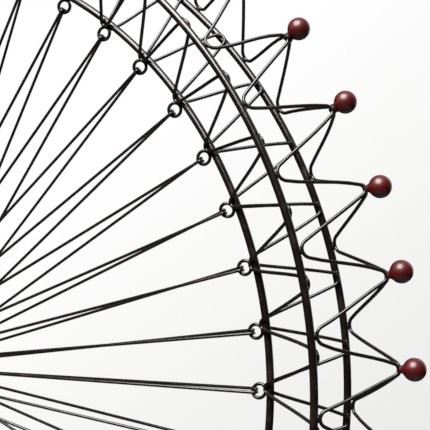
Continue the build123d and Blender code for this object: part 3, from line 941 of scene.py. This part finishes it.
for sideName, side in (("front", -1), ("rear", 1)):
    low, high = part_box(sideName + "_legs")
    bearingLow, bearingHigh = alongAxle(sideName + "_bearing_sleeve")
    bearingY = (bearingLow + bearingHigh) / 2
    footX = (high.x - low.x) / 2 - stand["footX"]
    footY = side * stand["footY"]
    footZ = low.z + 0.2 * mm
    # The corner where the two legs would meet, above the bend that holds the sleeve
    drop = hubCentre.z - footZ
    halfAngle = math.atan2(footX, drop) + math.asin(stand["wrap"] / math.hypot(footX, drop))
    peak = hubCentre.z + stand["wrap"] / math.sin(halfAngle)
    lean = (footY - side * abs(bearingY)) / drop
    peakY = bearingY - lean * (peak - hubCentre.z)
    corners = [Vector((-footX, footY, footZ)), Vector((0, peakY, peak)), Vector((footX, footY, footZ))]
    for end in (corners[0], corners[2]):
        legEnds.append((end, (corners[1] - end).normalized()))
    legs = bentWire(sideName + "Legs", corners, (0, stand["wrap"], 0), stand["rodRadius"], sides=6, steps=12)
    finishPiece(legs, "stand", finish["darkRod"], "stand_rod", sideName + "_legs")

    low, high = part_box(sideName + "_cross_bar")
    barY, barZ, length = (low.y + high.y) / 2, (low.z + high.z) / 2, high.x - low.x
    barOutline = [
        (0, 0), (0, 1.3 * mm), (0.35 * mm, 2.0 * mm), (1.0 * mm, 2.2 * mm), (length - 1.0 * mm, 2.2 * mm),
        (length - 0.35 * mm, 2.0 * mm), (length, 1.3 * mm), (length, 0),
    ]
    bar = spunPiece(sideName + "CrossBar", barOutline, (low.x, barY, barZ), (1, 0, 0), steps=32)
    finishPiece(bar, "stand", finish["darkRod"], "stand_rod", sideName + "_cross_bar")
    barEnds += [Vector((low.x + 2.6 * mm, barY, barZ)), Vector((high.x - 2.6 * mm, barY, barZ))]

low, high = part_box("base_frame")
middleZ = (low.z + high.z) / 2
halfX = (high.x - low.x) / 2 - stand["baseInset"]
halfY = (high.y - low.y) / 2 - stand["baseInset"]
signs = ((1, 1), (-1, 1), (-1, -1), (1, -1))
corners = [Vector((x * halfX, y * halfY, middleZ)) for x, y in signs]
bends = [stand["corner"]] * 4
base = bentWire("baseFrame", corners, bends, stand["baseRadius"], closed=True, sides=6, steps=10)
finishPiece(base, "stand", finish["darkRod"], "stand_rod", "base_frame")

footLow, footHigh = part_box("feet")
footReach = 10.1 * mm
footHeight = footHigh.z - footLow.z
feet = []
for x in (footLow.x + footReach, footHigh.x - footReach):
    for y in (footLow.y + footReach, footHigh.y - footReach):
        outline = [
            (0, 0), (0, 9.2 * mm), (0.8 * mm, 10.0 * mm), (footHeight * 0.55, 8.7 * mm),
            (footHeight - 0.9 * mm, 7.7 * mm), (footHeight, 6.8 * mm), (footHeight, 0),
        ]
        feet.append(spunPiece("foot", outline, (x, y, footLow.z), (0, 0, 1), steps=40))
finishPiece(joinAll(feet, "rubberFeet"), "stand", finish["footRubber"], "foot_rubber", "feet")

brazeSpots = []
for corner, way in legEnds:
    brazeSpots.append((Matrix.Translation(corner + way * stand["legBrazeUp"]), stand["legBraze"]))
for corner in barEnds:
    brazeSpots.append((Matrix.Translation(corner), stand["barBraze"]))
solderLumps("standBrazing", brazeSpots, "stand", "stand_rod")
print("stand made")


floorLook = {"colour": (0.44, 0.44, 0.437), "clearRadius": 0.9, "fadeRadius": 1.7}


def makeFloor():
    deselect()
    bpy.ops.mesh.primitive_circle_add(vertices=96, radius=2.0, fill_type="NGON", location=(0, 0, 0))
    floor = bpy.context.object
    floor.name = "floor"
    material = bpy.data.materials.new("paleFloor")
    material.use_nodes = True
    tree = material.node_tree
    shader = tree.nodes["Principled BSDF"]
    shader.inputs["Base Color"].default_value = (*floorLook["colour"], 1)
    shader.inputs["Roughness"].default_value = 0.7
    shader.inputs["Specular IOR Level"].default_value = 0.2
    place = tree.nodes.new("ShaderNodeTexCoord")
    reach = tree.nodes.new("ShaderNodeVectorMath")
    reach.operation = "LENGTH"
    tree.links.new(place.outputs["Object"], reach.inputs[0])
    fade = addRamp(tree, floorLook["clearRadius"], floorLook["fadeRadius"])
    tree.links.new(reach.outputs["Value"], fade.inputs["Value"])
    see = tree.nodes.new("ShaderNodeBsdfTransparent")
    mix = tree.nodes.new("ShaderNodeMixShader")
    tree.links.new(fade.outputs["Result"], mix.inputs["Fac"])
    tree.links.new(shader.outputs["BSDF"], mix.inputs[1])
    tree.links.new(see.outputs["BSDF"], mix.inputs[2])
    tree.links.new(mix.outputs["Shader"], tree.nodes["Material Output"].inputs["Surface"])
    floor.data.materials.append(material)
    # The floor catches the shadow, and throws no light back up at the part
    floor.visible_diffuse = False
    floor.visible_glossy = False


makeFloor()

# The photograph's view: where the camera stands from the hub, what it looks at and its roll
view = {
    "from": Vector((497.1, -541.1, 71.3)) * mm,
    "at": Vector((241.3, 0.0, 96.0)) * mm,
    "roll": -0.53,  # degrees
    "lens": 86.5,
    "sensor": 36.0,
}


def makeCamera():
    data = bpy.data.cameras.new("photoCamera")
    data.lens = view["lens"]
    data.sensor_width = view["sensor"]
    data.clip_start = 0.01
    camera = bpy.data.objects.new("photoCamera", data)
    bpy.context.scene.collection.objects.link(camera)
    looking = (view["at"] - view["from"]).to_track_quat("-Z", "Y").to_matrix().to_4x4()
    camera.matrix_world = looking @ Matrix.Rotation(math.radians(view["roll"]), 4, "Z")
    camera.location = hubCentre + view["from"]
    bpy.context.scene.camera = camera


makeCamera()

# Each lamp: way from what it lights, distance, size and power
lamps = {
    "keySoftbox": {"way": (-0.07, -0.59, 0.81), "distance": 1.5, "size": 1.2, "watts": 90},
    "overheadPanel": {"way": (0.10, 0.42, 0.90), "distance": 1.6, "size": 1.4, "watts": 1.5},
    "rearFill": {"way": (0.25, 0.90, 0.30), "distance": 1.8, "size": 1.8, "watts": 9},
    "leftFill": {"way": (-0.80, -0.45, 0.35), "distance": 1.8, "size": 1.0, "watts": 2},
}
litPoint = hubCentre + Vector((0.30, 0, 0.08))
for name, lamp in lamps.items():
    data = bpy.data.lights.new(name, "AREA")
    data.shape = "SQUARE"
    data.size = lamp["size"]
    data.energy = lamp["watts"]
    light = bpy.data.objects.new(name, data)
    bpy.context.scene.collection.objects.link(light)
    way = Vector(lamp["way"]).normalized()
    light.matrix_world = way.to_track_quat("Z", "Y").to_matrix().to_4x4()
    light.location = litPoint + way * lamp["distance"]

# Painted shade on the backdrop: it greys, and warms a little, along one way between two levels
backdrop = {
    "paintedShadeWay": (0.21, 0.084, -0.31),
    "whiteAt": -0.066,
    "greyAt": 0.088,
    "grey": 0.825,
    "warmth": 1.08,
    "reflected": (0.01, 0.32),  # level round about, and overhead and underneath
    "reflectedSteep": (0.35, 0.95),
    "ambient": 0.06,
}


def makeWorld():
    world = bpy.data.worlds.new("paleStudio")
    bpy.context.scene.world = world
    world.use_nodes = True
    tree = world.node_tree
    tree.nodes.clear()
    output = tree.nodes.new("ShaderNodeOutputWorld")
    path = tree.nodes.new("ShaderNodeLightPath")
    # The backdrop is white, with painted shade that makes it a little greyer, and a little warmer, towards
    # the lower right of the camera's view
    way = tree.nodes.new("ShaderNodeTexCoord")
    slope = tree.nodes.new("ShaderNodeVectorMath")
    slope.operation = "DOT_PRODUCT"
    slope.inputs[1].default_value = backdrop["paintedShadeWay"]
    tree.links.new(way.outputs["Generated"], slope.inputs[0])
    level = tree.nodes.new("ShaderNodeMapRange")
    level.inputs["From Min"].default_value = backdrop["whiteAt"]
    level.inputs["From Max"].default_value = backdrop["greyAt"]
    level.inputs["To Min"].default_value = 1.0
    level.inputs["To Max"].default_value = backdrop["grey"]
    tree.links.new(slope.outputs["Value"], level.inputs["Value"])
    tint = tree.nodes.new("ShaderNodeCombineColor")
    warm = addMath(tree, "POWER", level.outputs["Result"], backdrop["warmth"])
    for socket, value in (("Red", level), ("Green", level), ("Blue", warm)):
        tree.links.new(value.outputs[0], tint.inputs[socket])
    seen = tree.nodes.new("ShaderNodeBackground")
    tree.links.new(tint.outputs["Color"], seen.inputs["Color"])
    reflected = tree.nodes.new("ShaderNodeBackground")
    reflected.inputs["Color"].default_value = (1.0, 1.0, 1.0, 1)
    # What the part reflects is dark round about, and paler overhead and underneath
    height = tree.nodes.new("ShaderNodeSeparateXYZ")
    tree.links.new(way.outputs["Generated"], height.inputs["Vector"])
    steep = addMath(tree, "ABSOLUTE", height.outputs["Z"])
    pale = addRamp(tree, *backdrop["reflectedSteep"])
    pale.inputs["To Min"].default_value, pale.inputs["To Max"].default_value = backdrop["reflected"]
    tree.links.new(steep.outputs[0], pale.inputs["Value"])
    tree.links.new(pale.outputs["Result"], reflected.inputs["Strength"])
    lit = tree.nodes.new("ShaderNodeBackground")
    lit.inputs["Color"].default_value = (1.0, 1.0, 1.0, 1)
    lit.inputs["Strength"].default_value = backdrop["ambient"]
    gloss = addMath(tree, "MAXIMUM", path.outputs["Is Glossy Ray"], path.outputs["Is Transmission Ray"])
    first = tree.nodes.new("ShaderNodeMixShader")
    second = tree.nodes.new("ShaderNodeMixShader")
    tree.links.new(gloss.outputs[0], first.inputs["Fac"])
    tree.links.new(lit.outputs["Background"], first.inputs[1])
    tree.links.new(reflected.outputs["Background"], first.inputs[2])
    tree.links.new(path.outputs["Is Camera Ray"], second.inputs["Fac"])
    tree.links.new(first.outputs["Shader"], second.inputs[1])
    tree.links.new(seen.outputs["Background"], second.inputs[2])
    tree.links.new(second.outputs["Shader"], output.inputs["Surface"])


makeWorld()
bpy.context.scene.view_settings.view_transform = "Standard"

print("scene made")
